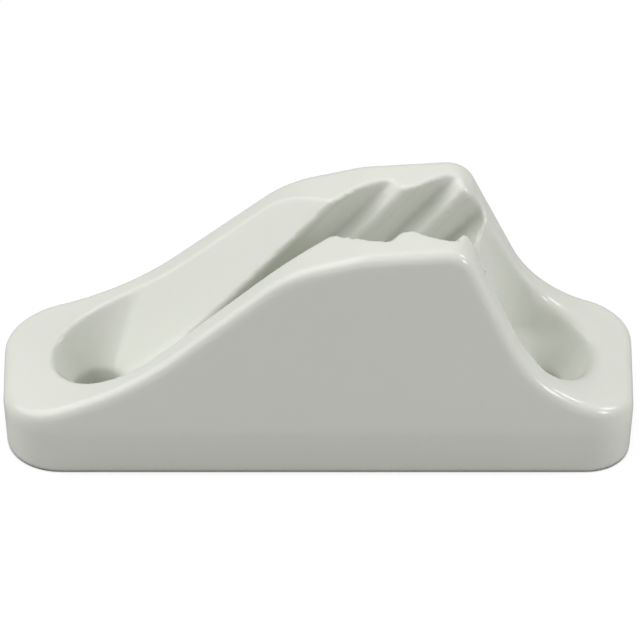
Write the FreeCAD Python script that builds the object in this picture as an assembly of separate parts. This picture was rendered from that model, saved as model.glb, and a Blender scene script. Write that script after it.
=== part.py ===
import FreeCAD, Part
import math
import os

# One-piece moulded jam cleat for small line, modelled at real size in millimetres.
# X runs along the cleat: the gentle ramp is at -X and the steep end at +X.
# Y runs across it, Z is up, and the origin is the centre of the underside.

V = FreeCAD.Vector

# Base plate
base_length = 66.0
base_width = 19.5
ramp_corner_radius = 6.0
steep_corner_radius = 4.9
mould_line_height = 5.4
underside_inset = 0.35

# Draft of everything above the mould line, and rounding of the upper edges
draft_angle_deg = 3.5
top_edge_radius = 1.2

# Side profile of the body: corner points of the top line, before they are rounded
ramp_end_height = 6.7
ramp_toe_x = -21.7
ramp_toe_height = 9.05
ramp_knee_x = -3.4
ramp_knee_height = 25.1
crest_start_x = 4.6
crest_start_height = 27.2
crest_end_x = 15.35
crest_end_height = 28.0
steep_toe_x = 22.9
steep_toe_height = 10.45
steep_end_height = 7.1

# Radii that round the corners of the side profile
ramp_toe_radius = 34.5
ramp_knee_radius = 13.0
crest_start_radius = 8.0
crest_end_radius = 3.0
steep_toe_radius = 14.0

# Screw holes, each at the bottom of its own recess
hole_spacing = 45.8
hole_radius = 2.7
countersink_bottom = 4.4

# Recess at the foot of the ramp: one open cone
ramp_recess_angle_deg = 70.0

# Recess in the steep end: a countersink, and a drafted clearance for the screw head above it
steep_countersink_angle_deg = 90.0
steep_recess_radius = 5.7
steep_recess_draft_deg = 4.0

# Rope lane: an open V trough up the ramp, with a rounded bottom
lane_rise_deg = 43.0
lane_bottom_radius = 2.6
lane_reach = 14.0

# Jamming channel: a narrow V whose two faces carry slanting saw teeth
channel_half_width = 2.9
channel_half_angle_deg = 6.5
channel_floor = 9.5
tooth_pitch = 6.5
tooth_depth = 2.45
tooth_depth_growth = 0.4
tooth_hollow = 0.1
tooth_return = 1.4
tooth_lean = 0.88
tooth_crest_radius = 0.8
tooth_valley_radius = 0.7
first_tooth_x = 3.2
tooth_count = 3

# Helper sizes
over = 3.0


def plan_outline(inset, z):
    """The outline of the base seen from above, drawn in by an inset: four sides and four corner arcs."""
    x = base_length / 2 - inset
    y = base_width / 2 - inset
    ramp_radius = ramp_corner_radius - inset
    steep_radius = steep_corner_radius - inset
    corners = [(x, -y, steep_radius, -90.0), (x, y, steep_radius, 0.0)]
    corners += [(-x, y, ramp_radius, 90.0), (-x, -y, ramp_radius, 180.0)]
    edges = []
    arcs = []
    for cx, cy, radius, start in corners:
        centre = V(cx - math.copysign(radius, cx), cy - math.copysign(radius, cy), z)
        circle = Part.Circle(centre, V(0, 0, 1), radius)
        arc = Part.Arc(circle, math.radians(start), math.radians(start + 90.0))
        arcs.append(arc.toShape())
    for i, arc in enumerate(arcs):
        following = arcs[(i + 1) % 4]
        edges.append(arc)
        edges.append(Part.LineSegment(arc.lastVertex().Point, following.firstVertex().Point).toShape())
    return Part.Wire(edges)


def rounded_line(points, radii):
    """Edges of an open line in the XZ plane, with each inner corner rounded by its radius."""
    edges = []
    start = V(points[0][0], 0, points[0][1])
    for i in range(1, len(points) - 1):
        before = V(points[i - 1][0], 0, points[i - 1][1])
        corner = V(points[i][0], 0, points[i][1])
        after = V(points[i + 1][0], 0, points[i + 1][1])
        back = (before - corner).normalize()
        ahead = (after - corner).normalize()
        half = back.getAngle(ahead) / 2
        reach = radii[i - 1] / math.tan(half)
        first = corner + back * reach
        last = corner + ahead * reach
        middle_way = (back + ahead).normalize()
        middle = corner + middle_way * (radii[i - 1] / math.sin(half) - radii[i - 1])
        edges.append(Part.LineSegment(start, first).toShape())
        edges.append(Part.Arc(first, middle, last).toShape())
        start = last
    edges.append(Part.LineSegment(start, V(points[-1][0], 0, points[-1][1])).toShape())
    return edges


# Plate below the mould line and drafted block above it
crest_z = max(crest_start_height, crest_end_height)
block_top = crest_z + over
block_inset = (block_top - mould_line_height) * math.tan(math.radians(draft_angle_deg))
low_outline = plan_outline(underside_inset, 0.0)
mould_outline = plan_outline(0.0, mould_line_height)
high_outline = plan_outline(block_inset, block_top)
plate = Part.makeLoft([low_outline, mould_outline], True, True)
block = Part.makeLoft([mould_outline, high_outline], True, True)

# Side profile of the top line, pushed across the whole width
profile_points = [
    (-base_length / 2, ramp_end_height),
    (ramp_toe_x, ramp_toe_height),
    (ramp_knee_x, ramp_knee_height),
    (crest_start_x, crest_start_height),
    (crest_end_x, crest_end_height),
    (steep_toe_x, steep_toe_height),
    (base_length / 2, steep_end_height),
]
profile_radii = [ramp_toe_radius, ramp_knee_radius, crest_start_radius, crest_end_radius, steep_toe_radius]
top_line = rounded_line(profile_points, profile_radii)
left_foot = V(profile_points[0][0], 0, mould_line_height)
right_foot = V(profile_points[-1][0], 0, mould_line_height)
profile_edges = list(top_line)
profile_edges.append(Part.LineSegment(top_line[-1].lastVertex().Point, right_foot).toShape())
profile_edges.append(Part.LineSegment(right_foot, left_foot).toShape())
profile_edges.append(Part.LineSegment(left_foot, top_line[0].firstVertex().Point).toShape())
profile_face = Part.Face(Part.Wire(profile_edges))
profile_face.translate(V(0, -base_width, 0))
profile_prism = profile_face.extrude(V(0, 2 * base_width, 0))
upper = block.common(profile_prism)

# Round the edges between the top surface and the sides
rim_edges = []
for edge in upper.Edges:
    box = edge.BoundBox
    above_mould_line = box.ZMin > mould_line_height + 0.01
    along_side = box.YLength < base_width * 0.6
    across_end = max(abs(box.XMin), abs(box.XMax)) > base_length / 2 - 1.0 and box.XLength < 0.01
    if above_mould_line and (along_side or across_end):
        rim_edges.append(edge)
upper = upper.makeFillet(top_edge_radius, rim_edges)
body = plate.fuse(upper)

# Rope lane up the ramp: two flat sides that start from the cone of the screw recess.
# Each side touches the cone along one line, so the lane opens out of the recess without a step.
lane_rise = math.tan(math.radians(lane_rise_deg))
recess_slope = math.tan(math.radians(ramp_recess_angle_deg / 2))
touch_angle = math.acos(recess_slope * lane_rise)
lane_side_slope = math.sin(touch_angle) / recess_slope
cone_tip = V(-hole_spacing / 2, 0, countersink_bottom - hole_radius / recess_slope)
lane_square_slope = lane_side_slope * math.cos(math.radians(lane_rise_deg))
lane_section_points = [
    (-lane_reach, lane_reach * lane_square_slope),
    (0.0, 0.0),
    (lane_reach, lane_reach * lane_square_slope),
]
lane_section = rounded_line(lane_section_points, [lane_bottom_radius])
lane_first = lane_section[0].firstVertex().Point
lane_last = lane_section[-1].lastVertex().Point
lane_section.append(Part.LineSegment(lane_last, lane_first).toShape())
lane_face = Part.Face(Part.Wire(lane_section))
lane_face.rotate(V(0, 0, 0), V(0, 0, 1), 90)
lane_face.rotate(V(0, 0, 0), V(0, 1, 0), -lane_rise_deg)
lane_way = V(1, 0, lane_rise)
lane_face.translate(cone_tip - lane_way * base_width)
lane_trough = lane_face.extrude(lane_way * (base_width + base_length))
spread = V(base_length, base_length * math.tan(touch_angle), 0)
plan_tip = V(cone_tip.x, 0, 0)
plan_points = [plan_tip, plan_tip + V(spread.x, -spread.y, 0), plan_tip + spread, plan_tip]
lane_limit = Part.Face(Part.makePolygon(plan_points)).extrude(V(0, 0, 2 * block_top))
body = body.cut(lane_trough.common(lane_limit))


def recess_cutter(x, points):
    """A turned cutter on a hole's axis, from radius and height pairs below the widest place."""
    centre = V(x, 0, 0)
    outline = [centre, centre + V(hole_radius, 0, 0)]
    for radius, height in points:
        outline.append(centre + V(radius, 0, height))
    outline.append(centre + V(0, 0, points[-1][1]))
    outline.append(centre)
    return Part.Face(Part.makePolygon(outline)).revolve(centre, V(0, 0, 1), 360)


# Screw holes and recesses
cone_wide = hole_radius + (block_top - countersink_bottom) * recess_slope
ramp_recess = recess_cutter(
    -hole_spacing / 2,
    [(hole_radius, countersink_bottom), (cone_wide, block_top)],
)
countersink_slope = math.tan(math.radians(steep_countersink_angle_deg / 2))
countersink_top = countersink_bottom + (steep_recess_radius - hole_radius) / countersink_slope
clearance_slope = math.tan(math.radians(steep_recess_draft_deg))
clearance_wide = steep_recess_radius + (block_top - countersink_top) * clearance_slope
steep_recess = recess_cutter(
    hole_spacing / 2,
    [(hole_radius, countersink_bottom), (steep_recess_radius, countersink_top), (clearance_wide, block_top)],
)
cone_limit = Part.makeCylinder(base_width / 2, block_top, V(-hole_spacing / 2, 0, 0))
body = body.cut(ramp_recess.common(cone_limit))
body = body.cut(steep_recess)

# Jamming channel: a toothed section on +Y, pushed down along the slant of the teeth, and its mirror image
channel_slope = math.tan(math.radians(channel_half_angle_deg))
channel_down = V(-tooth_lean, -channel_slope, -1)


def set_square(point, centre):
    """Moves a point along the slant into the plane through centre that is square to it."""
    offset = point - centre
    return point - channel_down * (offset.dot(channel_down) / channel_down.dot(channel_down))


def channel_section():
    """Closed section of half the channel, with the places of its crests and of its valleys."""
    centre = V(first_tooth_x, channel_half_width, crest_z)
    crests = []
    valleys = []
    for index in range(tooth_count + 1):
        x = first_tooth_x + index * tooth_pitch
        depth = tooth_depth + index * tooth_depth_growth
        crests.append(set_square(V(x, channel_half_width, crest_z), centre))
        valley = V(x + tooth_pitch - tooth_return, channel_half_width + depth, crest_z)
        valleys.append(set_square(valley, centre))
    valleys.pop()
    near_start = set_square(V(-base_length, -base_width, crest_z), centre)
    near_end = set_square(V(base_length, -base_width, crest_z), centre)
    far_start = set_square(V(-base_length, channel_half_width, crest_z), centre)
    far_end = set_square(V(base_length, channel_half_width, crest_z), centre)
    edges = [Part.LineSegment(near_start, far_start).toShape(), Part.LineSegment(far_start, crests[0]).toShape()]
    for index in range(tooth_count):
        chord = valleys[index] - crests[index]
        outward = chord.cross(channel_down).normalize()
        middle = (crests[index] + valleys[index]) * 0.5 + outward * (chord.Length * tooth_hollow)
        edges.append(Part.Arc(crests[index], middle, valleys[index]).toShape())
        edges.append(Part.LineSegment(valleys[index], crests[index + 1]).toShape())
    edges.append(Part.LineSegment(crests[-1], far_end).toShape())
    edges.append(Part.LineSegment(far_end, near_end).toShape())
    edges.append(Part.LineSegment(near_end, near_start).toShape())
    return Part.Face(Part.Wire(edges)), crests, valleys


def edges_through(solid, places):
    """The slanting edges of a pushed solid that pass through the given places."""
    found = []
    for edge in solid.Edges:
        start = edge.firstVertex().Point
        run = edge.lastVertex().Point - start
        if run.cross(channel_down).Length > 0.001 * run.Length:
            continue
        for place in places:
            if (start - place).cross(channel_down).Length < 0.01:
                found.append(edge)
    return found


section, crest_places, valley_places = channel_section()
section.translate(channel_down * -base_width)
channel_half = section.extrude(channel_down * (crest_z + 2 * base_width))
channel_half = channel_half.makeFillet(tooth_crest_radius, edges_through(channel_half, crest_places))
channel_half = channel_half.makeFillet(tooth_valley_radius, edges_through(channel_half, valley_places))
keep_height = block_top - channel_floor
keep = Part.makeBox(base_length, base_width, keep_height, V(-base_length / 2, 0, channel_floor))
channel_half = channel_half.common(keep)
mirrored = channel_half.mirror(V(0, 0, 0), V(0, 1, 0))
body = body.cut(channel_half)
body = body.cut(mirrored)
body = body.removeSplitter().Solids[0]

os.makedirs("parts", exist_ok=True)
body.exportStep("parts/cleat_body.step")
print("solids", len(body.Solids), "valid", body.isValid(), "volume", round(body.Volume, 1))
print("box", body.BoundBox)
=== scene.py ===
import math

import bpy
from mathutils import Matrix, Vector

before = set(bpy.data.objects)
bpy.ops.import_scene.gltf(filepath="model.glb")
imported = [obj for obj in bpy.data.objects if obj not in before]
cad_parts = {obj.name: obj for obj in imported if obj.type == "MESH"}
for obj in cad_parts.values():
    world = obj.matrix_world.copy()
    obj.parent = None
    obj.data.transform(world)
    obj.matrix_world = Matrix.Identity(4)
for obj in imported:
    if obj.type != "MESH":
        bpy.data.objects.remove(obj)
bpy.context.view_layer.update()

# All lengths are in metres; a length written in millimetres is multiplied by MM
MM = 0.001

# The photograph's view: a long lens, level across the cleat, looking down on it.
# The cleat's origin falls on the origin pixel, counted from the picture's top left.
IMAGE_SIZE_PX = 640
CAMERA_ELEVATION_DEG = 38.0
CAMERA_DISTANCE = 1.2
CAMERA_CLIP_START = 0.01
CAMERA_CLIP_END = 20.0
PIXELS_PER_METRE = 9560.0
ORIGIN_PIXEL_X = 318.3
ORIGIN_PIXEL_Y = 417.25
SENSOR_WIDTH_MM = 36.0

# Softening of the moulded edges: the solid's faces are joined to one skin, which is drawn on a
# fine grid and smoothed, and then drawn again on a wider grid and smoothed lightly
JOINING_DISTANCE = 0.002 * MM
FINE_GRID = 0.14 * MM
FINE_ROUNDS = 10
SKIN_GRID = 0.29 * MM
SKIN_ROUNDS = 1
SMOOTHING_FACTOR = 0.5

# The foot of the steep recess, where its rim blends widely into the land: the blend is full on
# a ring about the screw hole, fades out over its reach, and grows towards the steep end
BLEND_CENTRE_X = 22.9 * MM
BLEND_RADIUS = 6.2 * MM
BLEND_REACH = 2.6 * MM
BLEND_START_X = 22.5 * MM
BLEND_FULL_X = 28.5 * MM
BLEND_ROUNDS = 64

# Colours, linear
NYLON_LIGHT = (0.770, 0.785, 0.722, 1.0)
NYLON_DEEP = (0.763, 0.778, 0.712, 1.0)
FLOOR_COLOUR = (0.44, 0.44, 0.44, 1.0)
WHITE = (1.0, 1.0, 1.0, 1.0)

# Nylon's noises: scale in waves per metre, detail and roughness of each
CLOUD_NOISE = (60.0, 2.0, 0.5)
SHEEN_NOISE = (70.0, 2.0, 0.5)
WAVE_NOISE = (70.0, 1.0, 0.4)
GRAIN_NOISE = (5200.0, 2.0, 0.5)
# The part of a noise's range that most of its values lie in
NOISE_RANGE = (0.3, 0.7)

# Nylon's finish
GLOSS_ROUGHNESS = (0.17, 0.23)
WAVE_STRENGTH = 0.3
WAVE_HEIGHT = 0.04 * MM
GRAIN_STRENGTH = 0.12
GRAIN_HEIGHT = 0.01 * MM
NYLON_IOR = 1.5
SUBSURFACE_WEIGHT = 0.16
SUBSURFACE_RADIUS = (1.0, 0.9, 0.6)
SUBSURFACE_SCALE = 0.7 * MM

# The floor: it glows to the camera where it lies open, and less the more the cleat covers it,
# which paints shade into the screw holes and along the cleat's foot
FLOOR_HALF_SIDE = 3.0
FLOOR_DROP = 0.02 * MM
GLOW_STRENGTH = 1.09
COVER_DISTANCE = 6.0 * MM
COVER_SAMPLES = 16
OPENNESS_RANGE = (0.28, 0.5)
GLOW_SHARE_RANGE = (0.0, 0.88)

# The surround, as it lights the cleat and as the camera sees it
SURROUND_STRENGTH = 0.30
SURROUND_SEEN_STRENGTH = 1.0

# Soft lamps: name, place, width, height and power in watts; all are turned to one point
LAMPS = (
    ("panel_behind", (-0.08, 0.38, 0.74), 0.8, 0.4, 0.7),
    ("left_panel", (-0.54, -0.04, 0.62), 0.9, 0.9, 5.4),
    ("right_panel", (0.62, 0.10, 0.52), 0.22, 0.22, 1.4),
    ("right_front_panel", (0.66, -0.38, 0.33), 0.2, 0.2, 1.7),
)
LAMP_AIM = (0.0, 0.0, 0.01)


def new_material(name):
    """A material with an empty node tree; returns it with its nodes, links and output."""
    material = bpy.data.materials.new(name)
    material.use_nodes = True
    tree = material.node_tree
    tree.nodes.clear()
    output = tree.nodes.new("ShaderNodeOutputMaterial")
    return material, tree.nodes, tree.links, output


def noise(nodes, links, coordinates, settings):
    """The value of a noise texture in the object's own metres."""
    node = nodes.new("ShaderNodeTexNoise")
    for socket_name, setting in zip(("Scale", "Detail", "Roughness"), settings):
        node.inputs[socket_name].default_value = setting
    links.new(coordinates.outputs["Object"], node.inputs["Vector"])
    return node.outputs["Fac"]


def map_range(nodes, links, value, from_range, to_range):
    """Maps a value from one range onto another, and holds it at the ends."""
    node = nodes.new("ShaderNodeMapRange")
    node.inputs["From Min"].default_value = from_range[0]
    node.inputs["From Max"].default_value = from_range[1]
    node.inputs["To Min"].default_value = to_range[0]
    node.inputs["To Max"].default_value = to_range[1]
    links.new(value, node.inputs["Value"])
    return node.outputs["Result"]


def calculate(nodes, links, operation, *values):
    """The result of one arithmetic step on sockets or plain numbers."""
    node = nodes.new("ShaderNodeMath")
    node.operation = operation
    for socket, value in zip(node.inputs, values):
        if isinstance(value, float):
            socket.default_value = value
        else:
            links.new(value, socket)
    return node.outputs["Value"]


def bump(nodes, links, height, strength, distance):
    """A bump node for a height between 0 and 1."""
    node = nodes.new("ShaderNodeBump")
    node.inputs["Strength"].default_value = strength
    node.inputs["Distance"].default_value = distance
    links.new(height, node.inputs["Height"])
    return node


def mix_shaders(nodes, links, factor, first, second, output):
    """Gives the output the first shader where the factor is 0, and the second where it is 1."""
    mix = nodes.new("ShaderNodeMixShader")
    links.new(factor, mix.inputs["Fac"])
    links.new(first, mix.inputs[1])
    links.new(second, mix.inputs[2])
    links.new(mix.outputs["Shader"], output.inputs["Surface"])


def nylon_material():
    """Glossy off-white nylon: faint clouding, uneven gloss, soft flow waves and a fine grain."""
    material, nodes, links, output = new_material("moulded_nylon")
    shader = nodes.new("ShaderNodeBsdfPrincipled")
    coordinates = nodes.new("ShaderNodeTexCoord")

    cloud = noise(nodes, links, coordinates, CLOUD_NOISE)
    colour = nodes.new("ShaderNodeMix")
    colour.data_type = "RGBA"
    colour.inputs["A"].default_value = NYLON_DEEP
    colour.inputs["B"].default_value = NYLON_LIGHT
    cloud_share = map_range(nodes, links, cloud, NOISE_RANGE, (0.0, 1.0))
    links.new(cloud_share, colour.inputs["Factor"])
    links.new(colour.outputs["Result"], shader.inputs["Base Color"])

    sheen = noise(nodes, links, coordinates, SHEEN_NOISE)
    roughness = map_range(nodes, links, sheen, NOISE_RANGE, GLOSS_ROUGHNESS)
    links.new(roughness, shader.inputs["Roughness"])

    waves = noise(nodes, links, coordinates, WAVE_NOISE)
    wave_bump = bump(nodes, links, waves, WAVE_STRENGTH, WAVE_HEIGHT)
    grain = noise(nodes, links, coordinates, GRAIN_NOISE)
    grain_bump = bump(nodes, links, grain, GRAIN_STRENGTH, GRAIN_HEIGHT)
    links.new(wave_bump.outputs["Normal"], grain_bump.inputs["Normal"])
    links.new(grain_bump.outputs["Normal"], shader.inputs["Normal"])

    shader.inputs["IOR"].default_value = NYLON_IOR
    shader.inputs["Subsurface Weight"].default_value = SUBSURFACE_WEIGHT
    shader.inputs["Subsurface Radius"].default_value = SUBSURFACE_RADIUS
    shader.inputs["Subsurface Scale"].default_value = SUBSURFACE_SCALE
    links.new(shader.outputs["BSDF"], output.inputs["Surface"])
    return material


def floor_material():
    """Plain pale floor: white to the camera, with painted shade where the cleat covers it and
    the cleat's real shadow left faintly in its diffuse part.
    """
    material, nodes, links, output = new_material("pale_floor")
    diffuse = nodes.new("ShaderNodeBsdfDiffuse")
    diffuse.inputs["Color"].default_value = FLOOR_COLOUR
    glow = nodes.new("ShaderNodeEmission")
    glow.inputs["Color"].default_value = WHITE
    glow.inputs["Strength"].default_value = GLOW_STRENGTH
    painted_shade_cover = nodes.new("ShaderNodeAmbientOcclusion")
    painted_shade_cover.samples = COVER_SAMPLES
    painted_shade_cover.inputs["Distance"].default_value = COVER_DISTANCE
    # Painted shade: the glow fades where the cleat covers the floor, so the screw holes and the
    # cleat's foot turn dark
    glow_share = map_range(nodes, links, painted_shade_cover.outputs["AO"], OPENNESS_RANGE, GLOW_SHARE_RANGE)
    rays = nodes.new("ShaderNodeLightPath")
    factor = calculate(nodes, links, "MULTIPLY", rays.outputs["Is Camera Ray"], glow_share)
    mix_shaders(nodes, links, factor, diffuse.outputs["BSDF"], glow.outputs["Emission"], output)
    return material


def dress_body():
    """Gives the moulded body its material and softens its edges, as moulding leaves them."""
    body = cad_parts["cleat_body"]
    material = nylon_material()
    for slot in body.material_slots:
        slot.material = material
    joined = body.modifiers.new("joined_faces", "WELD")
    joined.merge_threshold = JOINING_DISTANCE
    steps = (("fine", FINE_GRID, FINE_ROUNDS), ("moulded", SKIN_GRID, SKIN_ROUNDS))
    for name, grid, rounds in steps:
        skin = body.modifiers.new(name + "_skin", "REMESH")
        skin.mode = "VOXEL"
        skin.voxel_size = grid
        skin.use_smooth_shade = True
        softened = body.modifiers.new(name + "_edges", "SMOOTH")
        softened.factor = SMOOTHING_FACTOR
        softened.iterations = rounds
    blended = body.modifiers.new("blended_foot", "NODES")
    blended.node_group = blend_group()


def blend_group():
    """A node group that softens the recess's rim at the foot of the steep end."""
    group = bpy.data.node_groups.new("blended_foot", "GeometryNodeTree")
    for direction in ("INPUT", "OUTPUT"):
        group.interface.new_socket(
            "Geometry", in_out=direction, socket_type="NodeSocketGeometry")
    nodes = group.nodes
    links = group.links
    start = nodes.new("NodeGroupInput")
    end = nodes.new("NodeGroupOutput")
    position = nodes.new("GeometryNodeInputPosition")
    parts = nodes.new("ShaderNodeSeparateXYZ")
    links.new(position.outputs["Position"], parts.inputs["Vector"])
    x = parts.outputs["X"]
    y = parts.outputs["Y"]

    # How near a point is to the ring: 1 on it, 0 at the blend's reach and beyond
    from_axis = calculate(nodes, links, "SUBTRACT", x, BLEND_CENTRE_X)
    x_square = calculate(nodes, links, "MULTIPLY", from_axis, from_axis)
    y_square = calculate(nodes, links, "MULTIPLY", y, y)
    squares = calculate(nodes, links, "ADD", x_square, y_square)
    radius = calculate(nodes, links, "SQRT", squares)
    past_ring = calculate(nodes, links, "SUBTRACT", radius, BLEND_RADIUS)
    off_ring = calculate(nodes, links, "ABSOLUTE", past_ring)
    off_share = calculate(nodes, links, "DIVIDE", off_ring, BLEND_REACH)
    near_share = calculate(nodes, links, "SUBTRACT", 1.0, off_share)
    ring = calculate(nodes, links, "MAXIMUM", near_share, 0.0)
    outward = map_range(nodes, links, x, (BLEND_START_X, BLEND_FULL_X), (0.0, 1.0))

    blur = nodes.new("GeometryNodeBlurAttribute")
    blur.data_type = "FLOAT_VECTOR"
    blur.inputs["Iterations"].default_value = BLEND_ROUNDS
    links.new(position.outputs["Position"], blur.inputs["Value"])
    links.new(calculate(nodes, links, "MULTIPLY", ring, outward), blur.inputs["Weight"])
    moved = nodes.new("GeometryNodeSetPosition")
    links.new(start.outputs["Geometry"], moved.inputs["Geometry"])
    links.new(blur.outputs["Value"], moved.inputs["Position"])
    links.new(moved.outputs["Geometry"], end.inputs["Geometry"])
    return group


def add_floor():
    """A wide flat floor just under the cleat."""
    half = FLOOR_HALF_SIDE
    mesh = bpy.data.meshes.new("floor")
    corners = [(-half, -half, 0.0), (half, -half, 0.0), (half, half, 0.0), (-half, half, 0.0)]
    mesh.from_pydata(corners, [], [(0, 1, 2, 3)])
    floor = bpy.data.objects.new("floor", mesh)
    bpy.context.scene.collection.objects.link(floor)
    mesh.materials.append(floor_material())
    floor.location.z = -FLOOR_DROP


def background(nodes, strength):
    """A white background of the given strength."""
    node = nodes.new("ShaderNodeBackground")
    node.inputs["Color"].default_value = WHITE
    node.inputs["Strength"].default_value = strength
    return node.outputs["Background"]


def add_world():
    """An even pale surround that is plain white to the camera."""
    world = bpy.data.worlds.new("surround")
    bpy.context.scene.world = world
    world.use_nodes = True
    nodes = world.node_tree.nodes
    links = world.node_tree.links
    nodes.clear()
    output = nodes.new("ShaderNodeOutputWorld")
    plain = background(nodes, SURROUND_STRENGTH)
    seen = background(nodes, SURROUND_SEEN_STRENGTH)
    rays = nodes.new("ShaderNodeLightPath")
    mix_shaders(nodes, links, rays.outputs["Is Camera Ray"], plain, seen, output)


def add_pointed(name, data, place, way):
    """Adds a lamp or a camera at a place, looking along a direction with its top up."""
    pointed = bpy.data.objects.new(name, data)
    bpy.context.scene.collection.objects.link(pointed)
    pointed.location = place
    pointed.rotation_mode = "QUATERNION"
    pointed.rotation_quaternion = way.to_track_quat("-Z", "Y")
    return pointed


def add_area_light(name, place, width, height, power):
    """A soft rectangular lamp, turned towards the cleat."""
    data = bpy.data.lights.new(name, "AREA")
    data.shape = "RECTANGLE"
    data.size = width
    data.size_y = height
    data.energy = power
    lamp = add_pointed(name, data, place, Vector(LAMP_AIM) - Vector(place))


def add_camera():
    """The photograph's camera, placed so that the cleat's origin falls on its pixel."""
    elevation = math.radians(CAMERA_ELEVATION_DEG)
    half_image = IMAGE_SIZE_PX / 2
    aim_x = (half_image - ORIGIN_PIXEL_X) / PIXELS_PER_METRE
    aim_z = (ORIGIN_PIXEL_Y - half_image) / PIXELS_PER_METRE / math.cos(elevation)
    aim = Vector((aim_x, 0.0, aim_z))
    back = Vector((0.0, -math.cos(elevation), math.sin(elevation)))
    data = bpy.data.cameras.new("camera")
    data.sensor_width = SENSOR_WIDTH_MM
    data.lens = SENSOR_WIDTH_MM / 2 * PIXELS_PER_METRE * CAMERA_DISTANCE / half_image
    data.clip_start = CAMERA_CLIP_START
    data.clip_end = CAMERA_CLIP_END
    camera = add_pointed("camera", data, aim + back * CAMERA_DISTANCE, -back)
    bpy.context.scene.camera = camera


dress_body()
add_floor()
add_world()
for lamp_settings in LAMPS:
    add_area_light(*lamp_settings)
add_camera()
bpy.context.scene.view_settings.view_transform = "Standard"
